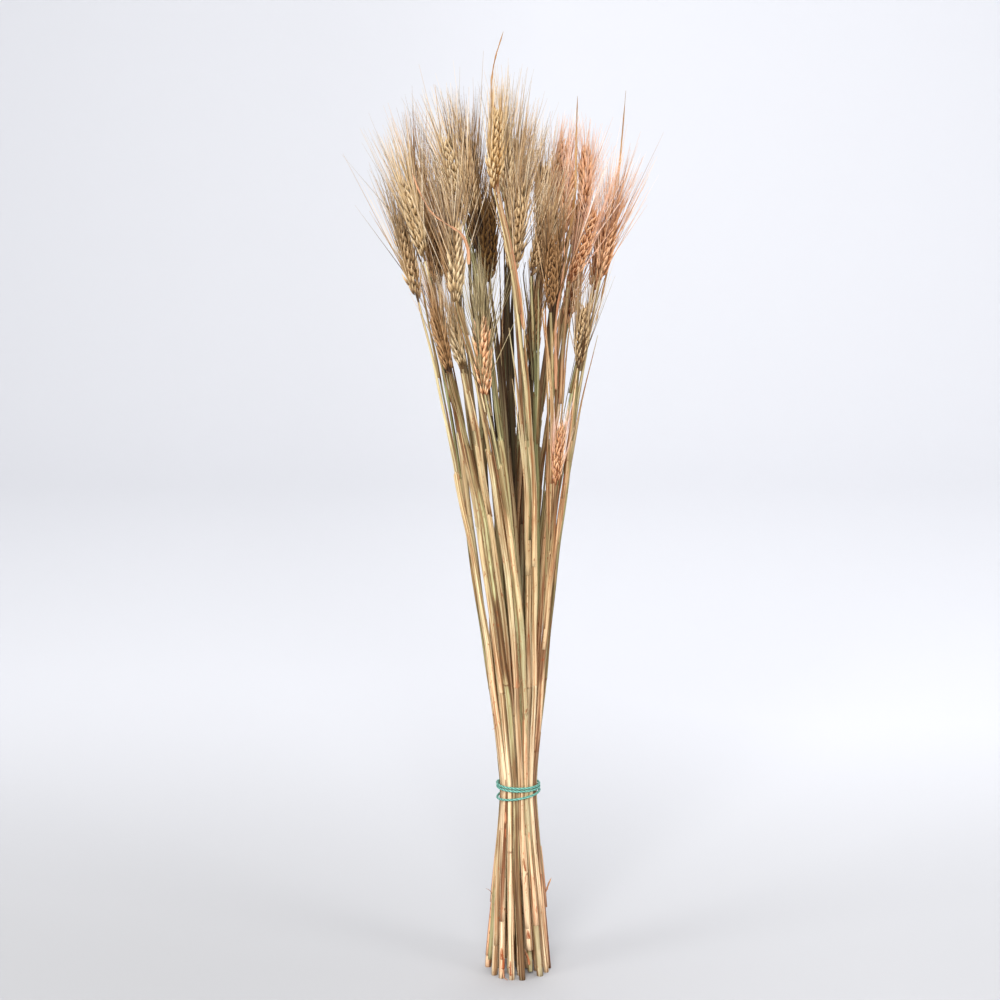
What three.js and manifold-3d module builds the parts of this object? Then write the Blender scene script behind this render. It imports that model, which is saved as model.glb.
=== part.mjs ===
// A bundle of dried bearded wheat, tied low down with an elastic band and standing on its flared cut
// ends. Millimetres, +Z up. The origin is the middle of the centre stalk's cut end, on the surface.
import * as THREE from "three";
import { mergeVertices } from "three/addons/utils/BufferGeometryUtils.js";
import Module from "manifold-3d";

const wasm = await Module();
wasm.setup();

// The tie and the pack of stems inside it
const tieHeight = 153; // middle of the band above the cut ends
const tieHalf = 9; // the stems run side by side this far above and below that
const stemAtTie = 2.05; // stem radius inside the band
const stemGap = 0.35; // clearance between neighbouring stems in the band
const bandStrand = 0.8; // radius of the elastic strand
const bandGap = 0.35; // clearance between the strand and the outer stems
const bandTurns = 3;
// Height of each turn of the strand above the tie's middle, at the bundle's left and right
const bandLevels = [
  { left: 5.6, right: 5.2 },
  { left: 3.2, right: 2.8 },
  { left: -6.5, right: -0.6 },
];

// Stem radii up the stalk
const stemAtFoot = 2.4;
const stemAtCollar = 2.3; // at the end of the top leaf sheath, which wraps the stem up to there
const bareStem = 1.5; // the bare stem that comes out of it
const collarStep = 6; // height in which the one narrows to the other
const neckRadius = 0.9; // just under the ear
const jointSwell = 0.35; // how far a stem joint stands out
const jointHalf = 3.5; // half the height of that swelling
const jointAboveTie = 34; // the lowest that a stem's joint stands above the tie
const jointRange = 60; // and how much higher the highest one is
const collarHeight = 395; // the lowest that a top sheath ends
const collarRange = 90;
const bareNeck = 60; // shortest bare stem between a sheath and the ear

// How the bundle opens out from the tie
const footSpreadX = 1.85; // times wider at the cut ends than in the tie
const footSpreadY = 2.3; // the same in depth
const flareLevel = 560; // height at which the flare below is stated
const flareEven = 2.85; // share of the flare that grows evenly with height
const flareCurl = 1.2; // share that comes near the top, where the stems bend outwards
const twistPerMm = (-0.12 * Math.PI) / 180; // the spiral of a hand-tied bundle
const leanAtFlare = -8; // the heads hang a little to one side
const leanCurve = 1.4; // power by which that lean grows with height
const placeCurve = 1.7; // power by which a stem bends to its own ear's place

// Ears and awns
const usualEar = 64; // length of an ear without its awns
const earRadius = 6.5;
const stalkSides = 6;
const awnLength = 74;
const awnRadius = 0.42;
const awnFan = 9; // how far an awn's tip stands from the ear's axis
const outerFan = 23; // the same for one awn of each stalk on the outside of the bundle
const innerAwns = 3; // on each ear inside the bundle
const outerAwns = 4;
const awnStart = 0.45; // where the lowest awn leaves the ear, as a share of its length
const awnClimb = 0.3; // and how much further up the others leave it

// Every stalk, ring by ring from the middle. In each ring the first one is at the front, and they go
// round to the right. ear is the height of the ear's base, across and depth move it, lean is the ear's
// slope to the right, and long and slim are for smaller ears.
const rings = [
  [{ ear: 632 }],
  [
    { ear: 572, across: -14, depth: -4, lean: -0.02 },
    { ear: 506, lean: 0.05, long: 48, slim: 0.85 },
    { ear: 604, across: 4, lean: 0.02, long: 58 },
    { ear: 618, depth: 3 },
    { ear: 590, across: -3 },
    { ear: 620, depth: -2 },
  ],
  [
    { ear: 582, across: 5, lean: 0.1, long: 74, slim: 1.2 },
    { ear: 580, across: -4, lean: 0.26, long: 56 },
    { ear: 572, across: 8, lean: 0.36, long: 60 },
    { ear: 536, across: 3, lean: 0.2, long: 50 },
    { ear: 606, across: -2, lean: 0.07, long: 58 },
    { ear: 620, across: 3, long: 60 },
    { ear: 600 },
    { ear: 614, across: -6, lean: -0.09, long: 60 },
    { ear: 585, across: -4 },
    { ear: 556, across: 2 },
    { ear: 502, across: -8, long: 44, slim: 0.85 },
    { ear: 622, long: 68 },
  ],
  [
    { ear: 650, across: 8, depth: 16, lean: 0.03, long: 62 },
    { ear: 413, across: 8, lean: 0.08, long: 50, slim: 0.62 },
    { ear: 553, across: -11, lean: 0.04, long: 64, slim: 0.9 },
    { ear: 505, across: 2, lean: 0.07, long: 50, slim: 0.85 },
    { ear: 573, across: 3, long: 60 },
    { ear: 561, long: 58 },
    { ear: 618, across: -13, lean: 0.03, long: 56 },
    { ear: 592, depth: 2 },
    { ear: 560, across: 2 },
    { ear: 600, depth: 2 },
    { ear: 560, across: 3 },
    { ear: 599, across: -22, long: 60 },
    { ear: 560, across: 2 },
    { ear: 554, across: -7, long: 68 },
    { ear: 590, across: 8 },
    { ear: 501, across: -3, depth: -3, lean: -0.24, long: 56, slim: 0.9 },
    { ear: 560, across: 3, depth: -4, lean: -0.03, long: 66, slim: 1.15 },
    { ear: 487, across: -10, depth: -2, lean: -0.05, long: 68, slim: 1.15 },
  ],
];
const shortCuts = { 9: 8, 16: 14, 27: 6, 31: 10, 36: 24 }; // height of the cut end, by stalk number
const unevenCut = 2.5; // most that the other inner stalks stop short of the surface

// Dried leaf blades and scraps. Each one follows a stalk: its points are a height, and how far the blade
// stands from the stalk's middle across and in depth. Above the ear the offsets are from its tip.
const bladeThick = 0.7;
const bladeTip = 0.25; // width at the tip, as a share of the width at the base
const blades = [
  {
    on: 20,
    wide: 3.6,
    turn: 60,
    at: [
      [540, 3.4, 0.6], [575, 3.3, 0.5], [608, 3.2, 1.5], [650, 3, 9], [700, 1, 15], [725, -4, 13],
      [746, -2, 13], [770, 5, 12],
    ],
  },
  {
    on: 12,
    wide: 2.8,
    turn: 120,
    at: [[520, 3, -1], [590, 4, -4], [640, 6, -7], [680, 5, -7], [716, 6, -4]],
  },
  {
    on: 24,
    wide: 2.4,
    turn: 90,
    at: [[538, 3.2, 0], [573, 4.5, 3], [615, 4, 11], [655, 4, 14], [722, 9, 12]],
  },
  {
    on: 36,
    wide: 3,
    turn: 200,
    at: [
      [592, 10, -4], [604, 10, -6], [617, 5, -11], [624, -5, -12], [632, -16, -10], [648, -26, -7],
      [663, -32, -4],
    ],
  },
  { on: 22, wide: 3, turn: 30, at: [[490, 3.4, 0.5], [548, 4.4, 1], [590, 8.5, 0], [616, 7.5, -2]] },
  {
    on: 28,
    wide: 4,
    turn: 150,
    at: [[404, 0, 3.4], [480, 2, 5], [532, 6, 11], [560, 12, 17], [570, 19, 20]],
  },
  { on: 22, wide: 2.6, turn: 70, at: [[64, 3.6, 0], [70, 5.8, -1], [77, 9, -1.5]] },
];

const deg = Math.PI / 180;
const ringPitch = 2 * stemAtTie + stemGap;
const outerRing = (rings.length - 1) * ringPitch;

// Repeatable random numbers from 0 to 1.
function seeded(seed) {
  let state = seed >>> 0;
  return () => {
    state = (state + 0x6d2b79f5) >>> 0;
    let mixed = Math.imul(state ^ (state >>> 15), 1 | state);
    mixed = (mixed + Math.imul(mixed ^ (mixed >>> 7), 61 | mixed)) ^ mixed;
    return ((mixed ^ (mixed >>> 14)) >>> 0) / 4294967296;
  };
}

// How many times wider than in the tie the bundle is at a height, across and in depth.
function spreadAt(z) {
  const below = tieHeight - tieHalf;
  if (z < below) {
    const down = 1 - z / below;
    return [1 + (footSpreadX - 1) * down, 1 + (footSpreadY - 1) * down];
  }
  const above = tieHeight + tieHalf;
  const up = Math.max(0, z - above) / (flareLevel - above);
  const spread = 1 + flareEven * up + flareCurl * up ** 3;
  return [spread, spread];
}

// The point of the bundle's flow that passes the tie at this radius, and stands at this angle at the
// flare's level.
function flowAt(radius, angle, z) {
  const turn = angle + twistPerMm * (z - flareLevel);
  const [across, depth] = spreadAt(z);
  const rise = Math.max(0, z - tieHeight) / (flareLevel - tieHeight);
  const lean = leanAtFlare * rise ** leanCurve;
  return [across * radius * Math.cos(turn) + lean, depth * radius * Math.sin(turn)];
}

// The middle of a stalk at a height. The ear goes on straight from the stem, or leans sideways by its
// own slope.
function stalkAt(stalk, z) {
  if (z > stalk.ear) {
    const [x, y] = stalkAt(stalk, stalk.ear);
    const [xBelow, yBelow] = stalkAt(stalk, stalk.ear - 1);
    const above = z - stalk.ear;
    return [x + above * (stalk.lean ?? x - xBelow), y + above * (y - yBelow)];
  }
  const [x, y] = flowAt(stalk.radius, stalk.angle, z);
  const share = (Math.max(0, z - tieHeight) / (stalk.ear - tieHeight)) ** placeCurve;
  return [x + share * stalk.across, y + share * stalk.depth];
}

// A stem's radius at a height, without its joint.
function stemRadius(stalk, z) {
  const knots = [
    [0, stemAtFoot],
    [tieHeight, stemAtTie],
    [stalk.collar, stemAtCollar],
    [stalk.collar + collarStep, bareStem],
    [stalk.ear, neckRadius],
  ];
  const next = knots.findIndex(([top]) => z <= top);
  if (next === 0) return stemAtFoot;
  if (next < 0) return neckRadius;
  const [[z0, r0], [z1, r1]] = [knots[next - 1], knots[next]];
  return r0 + ((r1 - r0) * (z - z0)) / (z1 - z0);
}

// Outline of a stalk from its cut end to the ear's tip: stem, joint and ear.
function stalkOutline(stalk) {
  const bendLevels = [stalk.cut, tieHeight / 2, tieHeight - tieHalf, tieHeight + tieHalf];
  const clearOfEar = stalk.ear - 12;
  const bendStep = 72; // height from one bend of the stem to the next
  for (let z = stalk.joint + bendStep; z < clearOfEar; z += bendStep) {
    if (Math.abs(z - stalk.collar) > 2 * collarStep) bendLevels.push(z);
  }
  bendLevels.push(stalk.collar, stalk.collar + collarStep);
  const levels = bendLevels.map((z) => [stemRadius(stalk, z), z]);
  const around = stemRadius(stalk, stalk.joint);
  levels.push([around, stalk.joint - jointHalf]);
  levels.push([around + jointSwell, stalk.joint]);
  levels.push([around, stalk.joint + jointHalf]);
  levels.sort((a, b) => a[1] - b[1]);
  // Width and height along the ear, as shares of its radius and length
  const earShape = [[0, 0], [0.72, 0.12], [1, 0.4], [0.86, 0.72], [0.45, 0.94]];
  const ear = earShape.map(([wide, along]) => [
    Math.max(neckRadius, wide * earRadius * stalk.slim),
    stalk.ear + along * stalk.long,
  ]);
  const outline = [[0, stalk.cut], ...levels, ...ear, [0, stalk.ear + stalk.long]];
  return outline.map(([r, z]) => new THREE.Vector2(r, z));
}

function solidOf(geometry) {
  const bare = geometry.index ? geometry.toNonIndexed() : geometry.clone();
  bare.deleteAttribute("normal");
  bare.deleteAttribute("uv");
  const merged = mergeVertices(bare, 1e-4);
  const triVerts = new Uint32Array(merged.index.array);
  const vertProperties = merged.attributes.position.array;
  return new wasm.Manifold(new wasm.Mesh({ numProp: 3, vertProperties, triVerts }));
}

function geometryOf(solid) {
  const mesh = solid.getMesh();
  const geometry = new THREE.BufferGeometry();
  geometry.setAttribute("position", new THREE.BufferAttribute(mesh.vertProperties, 3));
  geometry.setIndex(new THREE.BufferAttribute(mesh.triVerts, 1));
  return geometry;
}

// Moves every vertex of a geometry to where bend puts it.
function bent(geometry, bend) {
  const place = geometry.attributes.position;
  const point = new THREE.Vector3();
  for (let i = 0; i < place.count; i++) {
    point.fromBufferAttribute(place, i);
    bend(point);
    place.setXYZ(i, point.x, point.y, point.z);
  }
  return geometry;
}

// One awn, a thin three-sided spike that starts inside the ear and leans out at this angle round it.
function awnGeometry(stalk, round, along, fan) {
  const up = new THREE.Vector3(0, 1, 0);
  const lean = new THREE.Vector3(fan * Math.cos(round), fan * Math.sin(round), awnLength).normalize();
  return new THREE.ConeGeometry(awnRadius, awnLength, 3)
    .translate(0, awnLength / 2, 0)
    .applyQuaternion(new THREE.Quaternion().setFromUnitVectors(up, lean))
    .translate(0, 0, stalk.ear + along * stalk.long);
}

function stalkGeometry(stalk) {
  const lathe = new THREE.LatheGeometry(stalkOutline(stalk), stalkSides, stalk.phase);
  let solid = solidOf(lathe.rotateX(Math.PI / 2));
  const outer = stalk.radius > outerRing - ringPitch / 2;
  const awns = outer ? outerAwns : innerAwns;
  for (let k = 0; k < awns; k++) {
    const round = stalk.angle + (2 * Math.PI * k) / awns;
    const along = awnStart + (awnClimb * k) / awns;
    const fan = outer && k === 0 ? outerFan : awnFan * stalk.slim;
    solid = solid.add(solidOf(awnGeometry(stalk, round, along, fan)));
  }
  return bent(geometryOf(solid), (p) => {
    const [x, y] = stalkAt(stalk, p.z);
    p.x += x;
    p.y += y;
  });
}

// A thin strip bent along its stalk, turning over and narrowing towards its tip.
function bladeGeometry(stalk, { wide, turn, at }) {
  const route = at.map(([z, across, depth]) => {
    const [x, y] = stalkAt(stalk, Math.min(z, stalk.ear + stalk.long));
    return new THREE.Vector3(x + across, y + depth, z);
  });
  const curve = new THREE.CatmullRomCurve3(route);
  const stepsPerPoint = 4;
  const steps = stepsPerPoint * (at.length - 1);
  const strip = new THREE.BoxGeometry(wide, bladeThick, 1, 1, 1, steps).translate(0, 0, 0.5);
  return bent(strip, (p) => {
    const along = Math.min(1, Math.max(0, p.z));
    const ahead = curve.getTangent(along);
    const outward = new THREE.Vector3(route[0].x, route[0].y, 0).normalize();
    const side = new THREE.Vector3().crossVectors(outward, ahead).normalize();
    side.applyAxisAngle(ahead, turn * deg * along);
    const face = new THREE.Vector3().crossVectors(ahead, side);
    side.multiplyScalar(p.x * (1 - (1 - bladeTip) * along ** 2));
    face.multiplyScalar(p.y);
    p.copy(curve.getPoint(along)).add(side).add(face);
  });
}

// The elastic band: one closed strand that goes round the stems three times. Its two upper turns lie
// together, the lowest one slants, and at the back the strand climbs over the others to close on itself.
const climbOut = 2 * bandStrand + 0.6;

// The middle of the strand after this many turns, counted from the left.
function strandAt(turns) {
  const turn = Math.floor(turns) % bandTurns;
  const part = turns - Math.floor(turns);
  const here = bandLevels[turn];
  const next = bandLevels[(turn + 1) % bandTurns];
  const ease = (t) => t * t * (3 - 2 * t);
  const front = part < 0.5;
  const level = front
    ? here.left + (here.right - here.left) * ease(2 * part)
    : here.right + (next.left - here.right) * ease(2 * part - 1);
  const climbs = turn === bandTurns - 1 && !front;
  const out = climbs ? climbOut * Math.sqrt(Math.sin(Math.PI * (2 * part - 1))) : 0;
  const radius = outerRing + stemAtTie + bandGap + bandStrand + out;
  const angle = Math.PI * (1 + 2 * part);
  return new THREE.Vector3(radius * Math.cos(angle), radius * Math.sin(angle), tieHeight + level);
}

function bandGeometry() {
  const hoop = 10;
  const stepsPerTurn = 32;
  const strandSides = 6;
  const ring = new THREE.TorusGeometry(hoop, bandStrand, strandSides, stepsPerTurn * bandTurns);
  return bent(ring, (p) => {
    const share = (Math.atan2(p.y, p.x) / (2 * Math.PI) + 1) % 1;
    const out = Math.hypot(p.x, p.y) - hoop;
    const middle = strandAt(share * bandTurns);
    const outward = new THREE.Vector3(middle.x, middle.y, 0).normalize();
    middle.z += p.z;
    p.copy(middle).addScaledVector(outward, out);
  });
}

const straws = ["#d9bf86", "#c9b47c", "#d2a877", "#b9a96f", "#dcc58f"];
const strawMaterial = (number) =>
  new THREE.MeshStandardMaterial({ color: straws[number % straws.length], roughness: 0.7, metalness: 0 });
const leafMaterial = new THREE.MeshStandardMaterial({ color: "#c4835c", roughness: 0.8, metalness: 0 });
const bandMaterial = new THREE.MeshStandardMaterial({ color: "#4fa893", roughness: 0.55, metalness: 0 });

function named(name, geometry, material) {
  const mesh = new THREE.Mesh(geometry, material);
  mesh.name = name;
  return mesh;
}

// Fills in what the table above leaves out for each stalk, and numbers them from the middle outwards.
function allStalks() {
  const random = seeded(7);
  const stalks = [];
  rings.forEach((ring, r) => {
    ring.forEach((row, k) => {
      const number = stalks.length + 1;
      const stalk = { across: 0, depth: 0, long: usualEar, slim: 1, ...row };
      stalk.radius = r * ringPitch;
      stalk.angle = -Math.PI / 2 + (2 * Math.PI * k) / ring.length;
      stalk.phase = 2 * Math.PI * random();
      const inner = r > 0 && r < rings.length - 1;
      stalk.cut = shortCuts[number] ?? (inner ? unevenCut * random() : 0);
      stalk.joint = tieHeight + jointAboveTie + jointRange * random();
      stalk.collar = Math.min(stalk.ear - bareNeck, collarHeight + collarRange * random());
      stalks.push(stalk);
    });
  });
  return stalks;
}

const twoDigits = (number) => String(number).padStart(2, "0");
const stalks = allStalks();
const bundle = new THREE.Group();
stalks.forEach((stalk, k) => {
  bundle.add(named("stalk_" + twoDigits(k + 1), stalkGeometry(stalk), strawMaterial(k + 1)));
});
blades.forEach((blade, k) => {
  const geometry = bladeGeometry(stalks[blade.on - 1], blade);
  bundle.add(named("leaf_" + twoDigits(k + 1), geometry, leafMaterial));
});
bundle.add(named("tie_band", bandGeometry(), bandMaterial));

export default bundle;
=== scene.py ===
import math
import random
import bmesh
import bpy
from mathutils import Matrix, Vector


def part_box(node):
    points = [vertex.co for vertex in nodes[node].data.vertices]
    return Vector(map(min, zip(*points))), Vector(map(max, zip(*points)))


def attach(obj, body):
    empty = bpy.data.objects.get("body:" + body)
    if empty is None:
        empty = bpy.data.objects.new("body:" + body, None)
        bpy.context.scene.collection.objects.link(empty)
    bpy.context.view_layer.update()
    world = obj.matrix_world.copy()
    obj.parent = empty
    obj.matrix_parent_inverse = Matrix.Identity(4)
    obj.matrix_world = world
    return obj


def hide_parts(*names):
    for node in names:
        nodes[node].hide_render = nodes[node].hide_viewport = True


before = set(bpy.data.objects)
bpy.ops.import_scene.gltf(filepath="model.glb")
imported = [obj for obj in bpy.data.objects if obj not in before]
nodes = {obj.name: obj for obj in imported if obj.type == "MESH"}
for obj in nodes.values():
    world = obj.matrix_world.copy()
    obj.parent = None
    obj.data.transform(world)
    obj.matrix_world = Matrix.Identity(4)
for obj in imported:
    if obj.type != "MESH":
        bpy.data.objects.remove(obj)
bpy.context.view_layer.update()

mm = 0.001

cameraSet = {
    "away": 2.40,
    "height": 0.87,
    "aimAcross": -0.0150,
    "aimHeight": 0.3945,
    "lens": 109.6,
    "sensor": 36,
    "clipEnd": 30,
}


def aimAt(thing, point):  # turns a camera or a lamp towards a point
    way = Vector(point) - thing.location
    thing.rotation_euler = way.to_track_quat("-Z", "Y").to_euler()


def addCamera(s):
    data = bpy.data.cameras.new("camera")
    data.lens = s["lens"]
    data.sensor_width = s["sensor"]
    data.clip_end = s["clipEnd"]
    camera = bpy.data.objects.new("camera", data)
    bpy.context.scene.collection.objects.link(camera)
    camera.location = (s["aimAcross"], -s["away"], s["height"])
    aimAt(camera, (s["aimAcross"], 0, s["aimHeight"]))
    bpy.context.scene.camera = camera
    print("camera set")


addCamera(cameraSet)
bpy.context.scene.view_settings.view_transform = "Standard"


def addNode(tree, kind, settings=None, inputs=None):  # any node: its settings first, then values or links
    node = tree.nodes.new(kind)
    for key, value in (settings or {}).items():
        setattr(node, key, value)
    for key, value in (inputs or {}).items():
        value = getattr(value, "socket", value)
        if isinstance(value, bpy.types.NodeSocket):
            tree.links.new(value, node.inputs[key])
        else:
            node.inputs[key].default_value = value
    return node


class Wire:  # a number on its way between nodes, so that node maths reads as Python
    def __init__(self, tree, socket):
        self.tree = tree
        self.socket = socket

    def math(self, operation, *others, swap=False):
        values = [self, *others]
        if swap:
            values.reverse()
        inputs = dict(enumerate(values))
        node = addNode(self.tree, "ShaderNodeMath", {"operation": operation}, inputs)
        return Wire(self.tree, node.outputs[0])

    def __add__(self, other):
        return self.math("ADD", other)

    def __sub__(self, other):
        return self.math("SUBTRACT", other)

    def __rsub__(self, other):
        return self.math("SUBTRACT", other, swap=True)

    def __mul__(self, other):
        return self.math("MULTIPLY", other)

    def __truediv__(self, other):
        return self.math("DIVIDE", other)

    __radd__ = __add__
    __rmul__ = __mul__

    def step(self, low, high):  # 0 below low, 1 above high, smooth between
        inputs = {"Value": self, "From Min": low, "From Max": high}
        node = addNode(self.tree, "ShaderNodeMapRange", {"interpolation_type": "SMOOTHSTEP"}, inputs)
        return Wire(self.tree, node.outputs[0])


class Paint:  # a material under construction
    def __init__(self, name):
        self.material = bpy.data.materials.new(name)
        self.material.use_nodes = True
        self.tree = self.material.node_tree
        self.skin = self.tree.nodes["Principled BSDF"]

    def node(self, kind, settings=None, inputs=None):
        return addNode(self.tree, kind, settings, inputs)

    def wire(self, socket):
        return Wire(self.tree, socket)

    def number(self, attribute):
        return self.wire(self.node("ShaderNodeAttribute", {"attribute_name": attribute}).outputs["Fac"])

    def part(self, vector, axis):
        return self.wire(self.node("ShaderNodeSeparateXYZ", None, {0: vector}).outputs[axis])

    def spot(self):  # where a point of the finished piece is, in metres
        return self.node("ShaderNodeTexCoord").outputs["Object"]

    def place(self, attribute, scale=(1, 1, 1), shift=(0, 0, 0)):
        source = self.node("ShaderNodeAttribute", {"attribute_name": attribute}).outputs["Vector"]
        inputs = {"Vector": source, "Scale": scale, "Location": shift}
        return self.node("ShaderNodeMapping", None, inputs).outputs[0]

    def noise(self, vector, scale, detail=2.0, rough=0.5):
        inputs = {"Vector": vector, "Scale": scale, "Detail": detail, "Roughness": rough}
        return self.wire(self.node("ShaderNodeTexNoise", None, inputs).outputs["Fac"])

    def grain(self, stretch, scale, detail=2.0, rough=0.5, shift=(0, 0, 0)):  # noise drawn out along a stem
        return self.noise(self.place("stemSpace", (1, 1, stretch), shift), scale, detail, rough)

    def mix(self, factor, a, b):
        inputs = {0: factor, 6: colour(a), 7: colour(b)}
        return self.node("ShaderNodeMix", {"data_type": "RGBA"}, inputs).outputs[2]

    def shade(self, factor, a, b):  # b multiplied over a
        settings = {"data_type": "RGBA", "blend_type": "MULTIPLY"}
        inputs = {0: factor, 6: colour(a), 7: colour(b)}
        return self.node("ShaderNodeMix", settings, inputs).outputs[2]

    def bump(self, height, distance, strength=1.0):
        inputs = {"Height": height, "Distance": distance, "Strength": strength}
        self.link(self.node("ShaderNodeBump", None, inputs).outputs[0], "Normal")

    def link(self, source, name):
        self.tree.links.new(getattr(source, "socket", source), self.skin.inputs[name])

    def set(self, **values):
        for name, value in values.items():
            self.skin.inputs[name.replace("_", " ")].default_value = value


def colour(value):  # "#rrggbb" as the linear colour a socket takes
    if not isinstance(value, str):
        return value
    parts = [int(value[i:i + 2], 16) / 255 for i in (1, 3, 5)]
    return (*[p / 12.92 if p < 0.04045 else ((p + 0.055) / 1.055) ** 2.4 for p in parts], 1)


strawSet = {  # colours of the straw
    "gold": {"culm": "#ffe9c2", "second": "#dfb986", "sheath": "#fdd0a4", "rust": "#ad5527"},
    "green": {"culm": "#efe6b6", "second": "#a09a66", "sheath": "#f0cf9f", "rust": "#8f4a20"},
    "rust": {"culm": "#ffdab0", "second": "#c99562", "sheath": "#f6b68c", "rust": "#97421d"},
}
earSet = {  # and of the scales of the ears
    "yellow": {"body": "#cfa468", "pale": "#efd6a8", "dark": "#6e4318", "tip": "#fae6c4"},
    "pale": {"body": "#cba978", "pale": "#f7e0b6", "dark": "#5e4220", "tip": "#f7e4c8"},
    "tan": {"body": "#b08a5c", "pale": "#ecce9f", "dark": "#452b12", "tip": "#f2dcbc"},
    "orange": {"body": "#d69a68", "pale": "#fcca9e", "dark": "#7a4220", "tip": "#fbd9bd"},
    "apricot": {"body": "#e0a06c", "pale": "#ffd3a6", "dark": "#7a4220", "tip": "#fbd9bd"},
    "brown": {"body": "#8a6238", "pale": "#bf9465", "dark": "#3a220e", "tip": "#d9b48a"},
    # painted shade: a darkened copy of the ear colours, for the ears that sit in shadow inside the bundle
    "shade": {"body": "#5c3f20", "pale": "#84602f", "dark": "#28160a", "tip": "#b08a5c"},
}
awnTints = {  # awns that differ from their ear
    "moss": {"body": "#95815a", "pale": "#bda97a", "dark": "#43341b", "tip": "#cfbd94"},
    "peach": {"body": "#e8b290", "pale": "#fad6b8", "dark": "#b4764e", "tip": "#ffebdc"},
}


def strawMaterial(name, s):
    paint = Paint(name)
    ribs = paint.grain(0.02, 2200, 1.0)
    streak = paint.grain(0.014, 470, 2.0, 0.6)
    vein = paint.grain(0.012, 700, 1.0, shift=(3, 1, 2))
    stain = paint.grain(0.045, 520, 3.0, 0.6)
    cloud = paint.grain(0.14, 120)
    speck = paint.grain(0.30, 640, 3.0, 0.62)
    sheath = paint.number("sheath")
    joint = paint.number("joint")
    tint = paint.number("tint")
    torn = paint.number("torn")
    shadeDepth = paint.number("shadeDepth")
    base = paint.mix(streak.step(0.44, 0.56) * (tint * 0.3 + 0.45), s["culm"], s["second"])
    clasp = paint.mix(cloud.step(0.38, 0.66), s["sheath"], s["culm"])
    base = paint.mix(sheath.step(0.0, 0.7) * 0.75, base, clasp)
    base = paint.mix((1 - tint).step(0.72, 0.92) * cloud.step(0.36, 0.48) * 0.75, base, "#8f8c5f")
    base = paint.mix(tint.step(0.70, 0.90) * (1 - cloud).step(0.34, 0.52) * 0.85, base, "#7b5230")
    base = paint.shade(vein.step(0.52, 0.60) * 0.75, base, "#9b7040")
    base = paint.shade((1 - streak).step(0.56, 0.64) * 0.55, base, "#94724a")
    base = paint.mix(stain.step(0.58, 0.66) * (sheath * 0.45 + 0.15), base, s["rust"])
    base = paint.shade(ribs.step(0.42, 0.60) * 0.35, base, "#a07a4e")
    base = paint.mix(speck.step(0.61, 0.68) * (sheath * 0.45 + 0.45), base, s["rust"])
    base = paint.mix(joint.step(0.35, 1.0) * cloud.step(0.44, 0.56) * 0.7, base, "#6b3514")
    base = paint.mix(torn * (0.85 - streak.step(0.45, 0.6) * 0.5), base, s["rust"])
    height = paint.part(paint.spot(), "Z")
    base = paint.shade(height.step(0.18, 0.34), base, "#e8f2e8")  # greener higher up
    # painted shade: deep in the bundle the straw is painted darker, as the shade between the stems
    base = paint.shade(shadeDepth.step(0.20, 0.72) * 0.95, base, "#584026")
    paint.link(base, "Base Color")
    paint.link(ribs * 0.25 + 0.55 + sheath * 0.12, "Roughness")
    paint.bump(ribs * 0.5 + streak * 0.5, 0.00025, 0.9)
    paint.set(Specular_IOR_Level=0.3)
    return paint.material


def earMaterial(name, s):
    paint = Paint(name)
    nerves = paint.noise(paint.place("scaleSpace", (1, 1, 0.06)), 9.0, 1.0)
    cloud = paint.noise(paint.place("scaleSpace"), 2.2, 2.0)
    tone = paint.number("tone")
    along = paint.part(paint.place("scaleSpace"), "Z")
    base = paint.mix(along.step(0.25, 0.85), s["body"], s["pale"])
    # painted shade: each scale is painted dark towards its base, in the gaps of the ear
    base = paint.mix((1 - along).step(0.42, 0.88) * 0.92, base, s["dark"])
    base = paint.mix(tone.step(0.5, 1.0) * 0.5, base, s["body"])
    base = paint.shade(nerves.step(0.35, 0.7) * 0.4, base, "#8d6631")
    base = paint.mix(cloud.step(0.54, 0.66) * 0.5, base, s["dark"])
    paint.link(base, "Base Color")
    paint.link(nerves * 0.2 + 0.5, "Roughness")
    paint.bump(nerves, 0.0002, 0.6)
    paint.set(Specular_IOR_Level=0.3)
    return paint.material


def awnMaterial(name, s):
    paint = Paint(name)
    tone = paint.number("tone")
    along = paint.part(paint.place("scaleSpace"), "Z")
    base = paint.mix(along.step(0.0, 0.6), s["pale"], s["tip"])
    base = paint.mix(tone.step(0.50, 0.56) * 0.85, base, s["body"])
    base = paint.mix((1 - tone).step(0.68, 0.72) * (1 - along * 0.45), base, s["dark"])
    paint.link(base, "Base Color")
    paint.set(Roughness=0.55, Specular_IOR_Level=0.3)
    return paint.material


leafSet = {  # colours of the loose blades
    "pink": {"body": "#c58a62", "edge": "#dba882", "dark": "#7c4a2a", "tip": "#b08045"},
    "pale": {"body": "#dfa87a", "edge": "#f3caa0", "dark": "#9a6238", "tip": "#b08045"},
    "brown": {"body": "#b08249", "edge": "#d6ab72", "dark": "#6e4822", "tip": "#a87d48"},
}
leafOrder = ["pink", "brown", "brown", "pink", "pink", "brown", "pale"]  # which blade has which


def leafMaterial(name, s):
    paint = Paint(name)
    height = paint.part(paint.place("stemSpace"), "Z")
    veins = paint.grain(0.015, 2400, 1.0)
    cloud = paint.grain(0.2, 160, 3.0)
    base = paint.mix(cloud.step(0.35, 0.65), s["body"], s["edge"])
    base = paint.mix(height.step(0.67, 0.71) * 0.9, base, s["tip"])
    base = paint.shade(veins.step(0.35, 0.65) * 0.45, base, s["dark"])
    base = paint.mix(cloud.step(0.62, 0.74) * 0.6, base, s["dark"])
    paint.link(base, "Base Color")
    paint.link(veins * 0.2 + 0.6, "Roughness")
    paint.bump(veins, 0.00015, 0.8)
    paint.set(Specular_IOR_Level=0.25)
    return paint.material


rubberSet = {"furrowShade": "#2a6c61", "ridge": "#78b8a6", "dust": "#a9dccd"}  # colours of the band


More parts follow.
